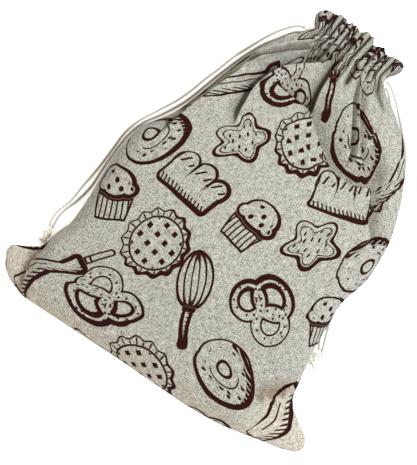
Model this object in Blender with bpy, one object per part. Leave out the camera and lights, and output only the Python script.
"""A drawstring bread bag of waxed linen, lying on its back with its mouth drawn in.

The bag is one length of cloth sewn into a sack, so it is one thin hollow solid, open at the ruffle.
The drawcords leave the channel at its two ends, two strands a side, and each pair ends in a knot.

Frame: Z up, Y along the bag from its bottom to its ruffle, X to the right when seen from above.
Places are written in millimetres from the middle of the bottom edge and moved to the frame at the end.
"""
import math

import bmesh
import bpy
import numpy as np
from mathutils import Vector

MM = 0.001

# Driving sizes, in millimetres
CLOTH = 1.2             # waxed linen, doubled by its seams
BOX_MIDDLE_X = -19.42   # middle of the bag's box, which becomes the frame's origin
BOX_MIDDLE_Y = 177.25
BOTTOM_LEVEL = -12.0    # the bottom seam
BOTTOM_ROUND = 24.0     # how far up the bag the rounding of the bottom edge reaches
BOTTOM_SKEW = 40.0      # how far up the bag the slant of the bottom edge is felt
UNDER_ROUND = 9.0       # the same rounding on the underside
UNDER_FLATNESS = 11     # a higher power keeps the underside flat closer to its sides
UNDER_PRESS = 0.3       # the underside is pressed flat on the surface by this much
CINCH_LEVEL = 338.0     # where the cords draw the cloth in
FLAP_EDGE = 4.0         # rounding at the tip of a flat corner
FLAP_SWELL = 4.0        # how much thicker a flat corner gets towards the bag
TIP_RISE = 1.5          # the front leaves the widest point within this distance
BLEND = 4.0             # roundness of the valley where a flat corner meets the filled bag, squared
EDGE_CALM = 6.0         # folds die out over this distance from the bag's outline
FLATTEST = 7.0          # least height of the front over the floor, away from the edges
OVERHANG = 5.0          # the front leans out this far over the left corner
OVERHANG_FLAP = 20.0    # where that corner sticks out this far or more

# The bag across its length. level: distance up the bag. left, right: the sides of the filled part.
# left_flap, right_flap: how far a flat corner sticks out past it. crown: height of the front.
# waist: height of the widest point. left_side, right_side: width of the rounding at each side.
SECTION_COLUMNS = ("level", "left", "right", "left_flap", "right_flap", "crown", "waist",
                   "left_side", "right_side")
SECTIONS = (
    (-12, -150, 96, 31, 47, 20, 2.8, 10, 22),
    (0, -153, 98, 32, 49, 25, 2.8, 9, 24),
    (15, -155, 98, 30, 46, 29, 2.8, 9, 26),
    (24, -155.5, 97.5, 28, 40, 31, 2.9, 9, 26),
    (30, -155.5, 97, 20, 34, 32, 3.0, 9, 26),
    (36, -155.5, 97, 8, 25, 33, 3.2, 10, 26),
    (42, -155.5, 98, 3, 18, 34, 3.6, 11, 25),
    (50, -156, 100, 1, 12, 35, 4.5, 13, 24),
    (60, -154, 103, 0, 8, 36, 6.0, 16, 22),
    (75, -148, 106, 0, 2, 38, 9.0, 18, 20),
    (100, -147, 105, 0, 0, 40, 11.0, 20, 20),
    (140, -148, 103, 0, 0, 41, 12.0, 20, 20),
    (180, -143, 112, 0, 0, 42, 12.0, 17, 20),
    (195, -133, 112, 0, 0, 42, 11.0, 13, 20),
    (212, -122, 111, 0, 0, 41, 11.0, 9, 20),
    (240, -111.5, 104, 0, 0, 39, 11.0, 9, 24),
    (270, -102, 92, 0, 0, 37, 11.0, 10, 28),
    (295, -92, 76, 0, 0, 35, 11.0, 14, 28),
    (315, -80, 54, 0, 0, 33, 12.0, 17, 24),
    (330, -67, 32, 0, 0, 31, 13.0, 17, 18),
    (338, -61.5, 26, 0, 0, 31, 15.0, 16, 16),
    (345, -55, 27.5, 0, 0, 32, 15.5, 16, 16),
    (353, -58, 31.5, 0, 0, 34, 16.0, 16, 16),
    (365, -61.5, 35, 0, 0, 36, 17.0, 16, 16),
)

# The bottom edge as it lies: how far up the bag it runs at each place across
BOTTOM_COLUMNS = ("across", "along")
BOTTOM_EDGE = (
    (-183, 12), (-178, 5), (-171, -1), (-160, -6), (-148, -9.5), (-60, -10.5), (40, -13), (70, -11), (85, -8.5),
    (100, -5.5), (115, -2.5), (130, 0.5), (143, 5),
)

# The top edge of the ruffle, in the same way
RUFFLE_COLUMNS = ("across", "along")
RUFFLE_EDGE = (
    (-61, 356), (-52, 362), (-38, 366), (-30, 362), (-22, 365), (-10, 364), (-3, 362), (1, 358.5), (8, 361),
    (14, 357.5), (24, 359), (34, 355),
)

# The main folds. A swell rises or falls softly along its route, a roll is a round ridge and a crease
# a sharp valley. Its width to each side goes from start_width to end_width. A step falls by rise on
# the left of its route over that width and comes back after reach. fade is the share of the route
# over which a fold starts and ends.
FOLD_COLUMNS = ("kind", "route", "start_width", "end_width", "rise", "reach", "fade")
FOLDS = (
    # the crown of the front panel
    ("swell", ((-45, 20), (-40, 110), (-30, 200), (-36, 262)), 75, 75, 5, 0, 0.35),
    # its right edge, which lies over the cloth beside it
    ("step", ((-20, 336), (-19, 300), (-14, 273), (0, 257), (11, 249), (25, 241.5), (38, 239), (52, 240),
              (63, 244.5), (69, 239), (78, 224), (89, 206), (103, 196)), 5, 5, -12, 46, 0.13),
    # its left edge
    ("step", ((-66, 222), (-69, 243), (-71.5, 262), (-69, 280), (-62, 299), (-50, 314), (-36, 325),
              (-24, 335)), 5.5, 5, -14, 26, 0.24),
    # the left side below the shoulder, with a narrow ledge under it
    ("step", ((-119, 184), (-117, 204), (-113, 222), (-109, 236), (-103, 250), (-97, 266), (-91, 285),
              (-84, 300)), 5, 5, -17, 60, 0.13),
    # the roll of cloth along the left shoulder, and the valley inside it
    ("roll", ((-46, 339), (-58, 328.5), (-70, 317.5), (-81, 305), (-90, 291), (-97, 274)), 8, 7, 8, 0, 0.2),
    ("crease", ((-39, 333), (-52, 322), (-64, 310), (-75, 298), (-82, 287)), 5, 5, -11, 0, 0.2),
    # the gather right of the neck, with a valley on each side
    ("roll", ((7, 334), (14, 315), (23, 297), (32, 281), (40, 267), (47, 254)), 6, 10, 8, 0, 0.15),
    ("crease", ((2, 330), (8, 311), (16, 292), (25, 275), (32, 259)), 4, 4, -8, 0, 0.15),
    ("crease", ((16, 330), (22, 314), (31, 297), (41, 281), (52, 268)), 4, 5, -5, 0, 0.2),
    # the hollow below it
    ("swell", ((46, 290), (58, 268), (66, 254), (80, 247)), 13, 15, -14, 0, 0.35),
    # the long pleat in the middle of the neck, and short ones beside it
    ("crease", ((-19, 338), (-19.5, 312), (-17, 290), (-12, 270)), 4.5, 4.5, -9, 0, 0.15),
    ("crease", ((-33, 334), (-38, 322), (-47, 309), (-55, 296)), 4.5, 4.5, -5, 0, 0.3),
    ("crease", ((24, 334), (33, 319), (45, 306)), 4.5, 5, -5, 0, 0.4),
    # the soft valley across the right corner
    ("swell", ((122, 54), (108, 46), (95, 37), (80, 27)), 8, 15, -12, 0, 0.3),
)
FOLD_STEPS = 6          # pieces of a fold's route between two of its points

# The gathers of the mouth from left to right, as uneven as they fell: the width of each pleat,
# how deep it is at the cinch, and how far down the bag it is felt
PLEAT_COLUMNS = ("width", "depth", "reach")
FRONT_PLEATS = (
    (11, 5.0, 20), (10.5, 7.0, 30), (7.5, 6.0, 24), (7.5, 5.5, 18), (10, 6.5, 30), (17.5, 8.0, 24),
    (8, 6.0, 28), (8, 5.5, 16), (7, 5.0, 22), (9, 6.0, 18),
)
BACK_PLEATS = ((24, 7.0, 28), (21, 6.0, 20), (27, 7.0, 30), (24, 6.0, 24))
COLUMNS_PER_PLEAT = 6
PLEATED_FROM = 240.0    # below this level the columns of the mesh lie evenly, not by the pleats
RUFFLE_DEEPER = 1.3     # how much deeper the pleats are at the ruffle's edge than at the cinch
RUFFLE_WAVE = 1.2       # how uneven the ruffle's edge is, besides its own table
RUFFLE_TURNS = (5, 13)  # the waves of that edge round the mouth, a slow one and a quick one
QUICK_WAVE = 0.6        # size of the quick one to the slow one
LINE_POINTS = 900       # places across the bag at which its line is worked out

BOTTOM_ANGLES = (8, 30, 52, 72, 90)
LEVELS = (24, 38, 52, 68, 92, 122, 152, 176, 196, 210, 222, 231, 238, 243.5, 249, 255, 262, 270, 278, 286, 294,
          302, 310, 318, 325, 332, 338, 345, 353, 363)

# The drawcords
CORD = 2.5              # diameter
CORD_STEP = 6.0         # a point every so far along a strand
ROUTE_STEPS = 12        # pieces of its route between two points of the table

# Each strand's route from the channel to its knot: across, along, height
FLOOR = 1.45            # height of a strand's middle where it lies on the surface
STRANDS = {
    "drawcord_left_outer": (
        (-62.9, 341, 15.5), (-70, 338.5, 14), (-80, 329, 8), (-89, 316, 2.6), (-96, 302.5, FLOOR),
        (-103.8, 286, FLOOR), (-110, 268, FLOOR), (-116, 252, FLOOR), (-120.5, 238, FLOOR),
        (-127, 222, FLOOR), (-137, 204, FLOOR), (-147, 186, FLOOR), (-152, 170, FLOOR),
        (-153.5, 150, FLOOR), (-155, 130, FLOOR), (-158, 108, FLOOR), (-160, 90, FLOOR),
        (-164.5, 76, FLOOR), (-165.5, 66, FLOOR), (-164, 58.5, 2.6),
    ),
    "drawcord_left_inner": (
        (-64.4, 335.5, 12.5), (-70.1, 331.8, 9), (-77.5, 322.5, 4), (-85.5, 312, FLOOR), (-91.5, 301.5, FLOOR),
        (-99, 285, FLOOR), (-105, 269, FLOOR), (-110.5, 253, FLOOR), (-115, 239, FLOOR),
        (-121, 223, FLOOR), (-131.5, 204, FLOOR), (-142.5, 187, FLOOR), (-148, 170, FLOOR),
        (-150.3, 150, FLOOR), (-151, 130, FLOOR), (-151.5, 110, FLOOR), (-155.5, 92, FLOOR),
        (-160.2, 78, FLOOR), (-161.5, 68, FLOOR), (-160.6, 58.5, 2.6),
    ),
    "drawcord_right_outer": (
        (27.3, 340, 15.5), (34, 337.5, 14.5), (46, 329, 8.5), (57, 319.5, 3), (66.5, 310, FLOOR), (76, 299.5, FLOOR),
        (84, 288, FLOOR), (90, 273, FLOOR), (97, 255, FLOOR), (102, 238, FLOOR), (106, 221, FLOOR),
        (108.5, 203, FLOOR), (109, 185, FLOOR), (106, 167, FLOOR), (102, 152, FLOOR), (101.5, 139, FLOOR),
        (104.5, 126, FLOOR), (108, 114, FLOOR), (111.5, 104, FLOOR), (113.6, 96.5, 2.6),
    ),
    "drawcord_right_inner": (
        (30.6, 334.5, 12.5), (36, 331.5, 10), (44, 324, 4.5), (53.5, 315, FLOOR), (63, 305.5, FLOOR),
        (72.5, 295.5, FLOOR), (80, 284.5, FLOOR), (86, 270, FLOOR), (93, 253, FLOOR), (98, 237, FLOOR),
        (102, 221, FLOOR), (104.5, 203, FLOOR), (105, 186, FLOOR), (102, 168, FLOOR), (98, 153, FLOOR),
        (97.2, 139, FLOOR), (98.5, 126, FLOOR), (102, 113, FLOOR), (107, 103, FLOOR), (110.4, 96.5, 2.6),
    ),
}

# The knot at the end of each pair of strands. turn is seen from above, in radians.
KNOT_COLUMNS = ("across", "along", "height", "half_width", "half_length", "half_height", "turn")
KNOTS = {
    "knot_left": (-162.2, 53.0, 3.3, 4.2, 4.8, 3.2, 0.1),
    "knot_right": (112.2, 91.2, 3.3, 4.2, 4.8, 3.2, 0.3),
}
KNOT_WRAPS = 3          # turns of cord that show round a knot
KNOT_SLANT = 0.35       # how far the turns lean
KNOT_RELIEF = 0.10      # how far they stand out, as a share of its size


def table_column(table, names, name):
    """One named column of a table, as an array."""
    place = names.index(name)
    return np.array([row[place] for row in table], float)


def smooth_read(knots, values, x):
    """A smooth curve through (knots, values), read at x. It never swings past its points."""
    gaps = np.diff(knots)
    slopes = np.diff(values) / gaps
    before, after = slopes[:-1], slopes[1:]
    together = np.where(before * after > 0, before + after, 1.0)
    inner = np.where(before * after > 0, 2 * before * after / together, 0.0)
    tangents = np.concatenate(([slopes[0]], inner, [slopes[-1]]))
    x = np.clip(x, knots[0], knots[-1])
    i = np.clip(np.searchsorted(knots, x) - 1, 0, len(gaps) - 1)
    t = (x - knots[i]) / gaps[i]
    start = values[i] * (1 + 2 * t) * (1 - t) ** 2 + tangents[i] * gaps[i] * t * (1 - t) ** 2
    end = values[i + 1] * t * t * (3 - 2 * t) - tangents[i + 1] * gaps[i] * t * t * (1 - t)
    return start + end


def section(name, level):
    """A named size of the bag at a level."""
    return smooth_read(table_column(SECTIONS, SECTION_COLUMNS, "level"),
                       table_column(SECTIONS, SECTION_COLUMNS, name), level)


def ease(x):
    """0 below 0, 1 above 1, a smooth step between."""
    x = np.clip(x, 0, 1)
    return x * x * (3 - 2 * x)


def round_rise(x):
    """A quarter round: 0 at 0, upright there, and level from 1 on."""
    x = np.clip(x, 0, 1)
    return np.sqrt(1 - (1 - x) ** 2)


def smooth_route(points, steps):
    """A smooth line (Catmull-Rom) through points, with so many steps between two of them."""
    points = np.array(points, float)
    padded = np.vstack((2 * points[0] - points[1], points, 2 * points[-1] - points[-2]))
    line = []
    for i in range(len(points) - 1):
        a, b, c, d = padded[i:i + 4]
        for t in np.arange(steps) / steps:
            line.append(0.5 * (2 * b + (c - a) * t + (2 * a - 5 * b + 4 * c - d) * t * t
                               + (3 * b - a - 3 * c + d) * t ** 3))
    line.append(points[-1])
    return np.array(line)


def beside_route(x, y, route):
    """For each point, its distance from the route, positive on its left, and how far along it lies."""
    starts, runs = route[:-1], np.diff(route, axis=0)
    lengths = np.hypot(runs[:, 0], runs[:, 1])
    passed = np.concatenate(([0], np.cumsum(lengths)))
    dx = x[..., None] - starts[:, 0]
    dy = y[..., None] - starts[:, 1]
    t = np.clip((dx * runs[:, 0] + dy * runs[:, 1]) / lengths ** 2, 0, 1)
    away = np.hypot(dx - t * runs[:, 0], dy - t * runs[:, 1])
    nearest = np.argmin(away, axis=-1)[..., None]
    side = np.sign(runs[:, 0] * dy - runs[:, 1] * dx)
    distance = np.take_along_axis(away * side, nearest, -1)[..., 0]
    along = np.take_along_axis(passed[:-1] + t * lengths, nearest, -1)[..., 0] / passed[-1]
    return distance, along


def fold_height(x, y):
    """How much the main folds raise or lower the front at each point."""
    height = np.zeros_like(x)
    for row in FOLDS:
        fold = dict(zip(FOLD_COLUMNS, row))
        distance, along = beside_route(x, y, smooth_route(fold["route"], FOLD_STEPS))
        strength = ease(along / fold["fade"]) * ease((1 - along) / fold["fade"])
        across = distance / (fold["start_width"] + (fold["end_width"] - fold["start_width"]) * along)
        if fold["kind"] == "step":
            shape = ease(across) * (1 - ease(distance / fold["reach"]))
        elif fold["kind"] == "roll":
            shape = round_rise(1 - np.abs(across))
        elif fold["kind"] == "crease":
            shape = np.exp(-np.abs(across))
        else:
            shape = np.exp(-across ** 2)
        height += fold["rise"] * strength * shape
    return height


def front_height(x, level, along):
    """Height of the front cloth at places across the bag, on one level."""
    left, right = section("left", level), section("right", level)
    left_tip, right_tip = left - section("left_flap", level), right + section("right_flap", level)
    waist, crown = section("waist", level), section("crown", level)
    from_tip = np.minimum(x - left_tip, right_tip - x)
    flap_root = np.where(x < 0, np.maximum(left - left_tip, 1), np.maximum(right_tip - right, 1))
    flap = waist * (1 + round_rise(from_tip / FLAP_EDGE)) + FLAP_SWELL * ease(from_tip / flap_root)
    side = np.where(x < (left + right) / 2, (x - left) / section("left_side", level),
                    (right - x) / section("right_side", level))
    body = waist + (crown - waist) * round_rise(side)
    height = np.where(side > 0, (flap + body + np.sqrt((flap - body) ** 2 + BLEND)) / 2, flap)
    height = waist + (height - waist) * ease(from_tip / TIP_RISE) ** 0.5
    calm = ease(from_tip / EDGE_CALM)
    folded = height + calm * fold_height(x, along)
    return np.maximum(folded, np.minimum(height, FLATTEST))


def back_height(x, level):
    """Height of the underside: flat on the surface, curving up to the waist at its edges."""
    left_tip = section("left", level) - section("left_flap", level)
    right_tip = section("right", level) + section("right_flap", level)
    across = np.abs(2 * (x - left_tip) / (right_tip - left_tip) - 1)
    lift = section("waist", level) * (1 - np.sqrt(1 - np.clip(across, 0, 1) ** UNDER_FLATNESS))
    return np.maximum(lift - UNDER_PRESS, 0)


def along_at(x, level):
    """How far up the bag a point lies: the slant of the bottom edge dies out up the bag."""
    edge = smooth_read(table_column(BOTTOM_EDGE, BOTTOM_COLUMNS, "across"),
                       table_column(BOTTOM_EDGE, BOTTOM_COLUMNS, "along"), x)
    return level + (edge - BOTTOM_LEVEL) * max(0.0, 1 - (level - BOTTOM_LEVEL) / BOTTOM_SKEW)


def read_along(points, shares):
    """The line through points, read at shares of its length."""
    passed = np.concatenate(([0], np.cumsum(np.linalg.norm(np.diff(points, axis=0), axis=1))))
    return np.column_stack([np.interp(shares * passed[-1], passed, points[:, k]) for k in range(points.shape[1])])


def column_shares(pleats, level):
    """How far round its side each column of the mesh lies: evenly, and by the pleats near the mouth."""
    count = len(pleats) * COLUMNS_PER_PLEAT
    even = np.arange(count + 1) / count
    widths = table_column(pleats, PLEAT_COLUMNS, "width")
    edges = np.concatenate(([0], np.cumsum(widths))) / widths.sum()
    by_pleat = np.interp(even * len(pleats), np.arange(len(edges)), edges)
    return even + (by_pleat - even) * ease((level - PLEATED_FROM) / (CINCH_LEVEL - PLEATED_FROM))


def pleat_depths(level):
    """How deep the cloth is pushed in at each column on one level, front and then back."""
    pleats = FRONT_PLEATS + BACK_PLEATS
    place = np.arange(len(pleats) * COLUMNS_PER_PLEAT)
    depth = np.repeat(table_column(pleats, PLEAT_COLUMNS, "depth"), COLUMNS_PER_PLEAT)
    reach = np.repeat(table_column(pleats, PLEAT_COLUMNS, "reach"), COLUMNS_PER_PLEAT)
    wave = (1 - np.cos(2 * math.pi * place / COLUMNS_PER_PLEAT)) / 2
    if level > CINCH_LEVEL:
        deeper = 1 + (RUFFLE_DEEPER - 1) * (level - CINCH_LEVEL) / (LEVELS[-1] - CINCH_LEVEL)
        return depth * wave * deeper
    return depth * wave * np.exp(-((CINCH_LEVEL - level) / reach) ** 2)


def ruffle_shift(x, level):
    """How far the uneven edge of the ruffle moves a line of cloth along the bag."""
    edge = smooth_read(table_column(RUFFLE_EDGE, RUFFLE_COLUMNS, "across"),
                       table_column(RUFFLE_EDGE, RUFFLE_COLUMNS, "along"), x)
    around = np.linspace(0, 2 * math.pi, len(x), endpoint=False)
    slow, quick = RUFFLE_TURNS
    wave = np.sin(slow * around) + QUICK_WAVE * np.sin(quick * around + 1)
    return (edge - LEVELS[-1] + RUFFLE_WAVE * wave) * ease((level - CINCH_LEVEL) / (LEVELS[-1] - CINCH_LEVEL))


def ring(level, front_share, back_share):
    """The closed line of the cloth at one level: the front from left to right, then the back."""
    left_tip = float(section("left", level) - section("left_flap", level))
    right_tip = float(section("right", level) + section("right_flap", level))
    waist = float(section("waist", level))
    turn = np.linspace(0, math.pi, LINE_POINTS)
    x = left_tip + (right_tip - left_tip) * (1 - np.cos(turn)) / 2
    y = along_at(x, level)
    top = waist + (front_height(x, level, y) - waist) * front_share
    under = waist + (back_height(x, level) - waist) * back_share
    rise = round_rise((x - section("left", level)) / section("left_side", level))
    lean = OVERHANG * min(1.0, float(section("left_flap", level)) / OVERHANG_FLAP)
    leaning = x - lean * np.sin(math.pi * rise)
    front = read_along(np.column_stack((leaning, y, top)), column_shares(FRONT_PLEATS, level))
    back = read_along(np.column_stack((x, y, under))[::-1], column_shares(BACK_PLEATS, level))
    line = np.vstack((front[:-1], back[:-1]))
    line[:, 1] += ruffle_shift(line[:, 0], level)
    return pleated(line, level)


def pleated(line, level):
    """The same line with the gathers of the mouth pushed into it, inwards from its own course."""
    tangent = np.roll(line, -1, axis=0) - np.roll(line, 1, axis=0)
    inward = np.column_stack((-tangent[:, 2], np.zeros(len(line)), tangent[:, 0]))
    inward *= -1 / np.linalg.norm(inward, axis=1)[:, None]
    return line + inward * pleat_depths(level)[:, None]


def material(name, colour, roughness):
    """A plain Principled material."""
    made = bpy.data.materials.new(name)
    made.use_nodes = True
    shader = made.node_tree.nodes["Principled BSDF"]
    shader.inputs["Base Color"].default_value = (*colour, 1)
    shader.inputs["Roughness"].default_value = roughness
    made.diffuse_color = (*colour, 1)
    return made


def in_frame(point):
    """A point in millimetres from the bottom edge, as metres in the part's frame."""
    return Vector(((point[0] - BOX_MIDDLE_X) * MM, (point[1] - BOX_MIDDLE_Y) * MM, point[2] * MM))


def add_object(name, data, look):
    """An object of the scene with its own material."""
    made = bpy.data.objects.new(name, data)
    data.materials.append(look)
    bpy.context.scene.collection.objects.link(made)
    return made


def close_bottom(mesh, front, back):
    """Sews the bottom seam: a strip of triangles between the lowest front and back rows."""
    i = j = 0
    while i < len(front) - 1 or j < len(back) - 1:
        front_next = front[i + 1].co.x if i < len(front) - 1 else math.inf
        back_next = back[j + 1].co.x if j < len(back) - 1 else math.inf
        if front_next <= back_next:
            corners = (front[i], back[j], front[i + 1])
            i += 1
        else:
            corners = (front[i], back[j], back[j + 1])
            j += 1
        if len(set(corners)) == 3:
            mesh.faces.new(corners)


def make_bag(look):
    """The bag's cloth: rings of cloth from the bottom seam to the ruffle, given their thickness."""
    rings = []
    for angle in BOTTOM_ANGLES:
        turn = math.radians(angle)
        level = BOTTOM_LEVEL + BOTTOM_ROUND * (1 - math.cos(turn))
        rings.append(ring(level, math.sin(turn), float(round_rise((level - BOTTOM_LEVEL) / UNDER_ROUND))))
    rings += [ring(level, 1, 1) for level in LEVELS]
    mesh = bmesh.new()
    rows = [[mesh.verts.new(in_frame(point)) for point in line] for line in rings]
    count = len(rows[0])
    for low, high in zip(rows, rows[1:]):
        for k in range(count):
            after = (k + 1) % count
            mesh.faces.new((low[k], low[after], high[after], high[k]))
    front_columns = COLUMNS_PER_PLEAT * len(FRONT_PLEATS)
    bottom = rows[0]
    close_bottom(mesh, bottom[:front_columns + 1], [bottom[0]] + bottom[:front_columns - 1:-1])
    bmesh.ops.recalc_face_normals(mesh, faces=mesh.faces)
    data = bpy.data.meshes.new("bag")
    mesh.to_mesh(data)
    mesh.free()
    data.shade_smooth()
    bag = add_object("bag", data, look)
    wall = bag.modifiers.new("Cloth", "SOLIDIFY")
    wall.thickness = CLOTH * MM
    wall.offset = -1
    return bag


def make_strand(name, route, look):
    """A drawcord strand: a round tube along a smooth line through its route."""
    line = smooth_route(route, ROUTE_STEPS)
    length = float(np.sum(np.linalg.norm(np.diff(line, axis=0), axis=1)))
    points = read_along(line, np.linspace(0, 1, round(length / CORD_STEP) + 1))
    points[:, 2] = np.maximum(points[:, 2], FLOOR)
    data = bpy.data.curves.new(name, "CURVE")
    data.dimensions = "3D"
    data.bevel_depth = CORD / 2 * MM
    data.bevel_resolution = 2
    data.use_fill_caps = True
    spline = data.splines.new("POLY")
    spline.points.add(len(points) - 1)
    for place, point in zip(spline.points, points):
        place.co = (*in_frame(point), 1)
    print(name, "length", round(length, 1), "mm,", len(points), "points")
    return add_object(name, data, look)


def make_knot(name, row, look):
    """The knot that ties a pair of strands: a round lump with the turns of the cord standing out."""
    knot = dict(zip(KNOT_COLUMNS, row))
    heart = in_frame((knot["across"], knot["along"], knot["height"]))
    turn = knot["turn"]
    mesh = bmesh.new()
    bmesh.ops.create_icosphere(mesh, subdivisions=3, radius=1)
    for vert in mesh.verts:
        x, y, z = vert.co
        wraps = math.cos(KNOT_WRAPS * math.pi * (y + KNOT_SLANT * math.sin(math.atan2(z, x))))
        size = (1 - KNOT_RELIEF * (1 - wraps) / 2) * MM
        a, b, c = x * size * knot["half_width"], y * size * knot["half_length"], z * size * knot["half_height"]
        vert.co = heart + Vector((a * math.cos(turn) - b * math.sin(turn),
                                  a * math.sin(turn) + b * math.cos(turn), c))
    data = bpy.data.meshes.new(name)
    mesh.to_mesh(data)
    mesh.free()
    data.shade_smooth()
    return add_object(name, data, look)


def main():
    """Clears the scene and builds the bag."""
    for old in list(bpy.data.objects):
        bpy.data.objects.remove(old, do_unlink=True)
    linen = material("greige linen", (0.46, 0.43, 0.37), 0.85)
    cotton = material("cream cotton cord", (0.72, 0.68, 0.58), 0.9)
    make_bag(linen)
    for name, route in STRANDS.items():
        make_strand(name, route, cotton)
    for name, row in KNOTS.items():
        make_knot(name, row, cotton)


main()
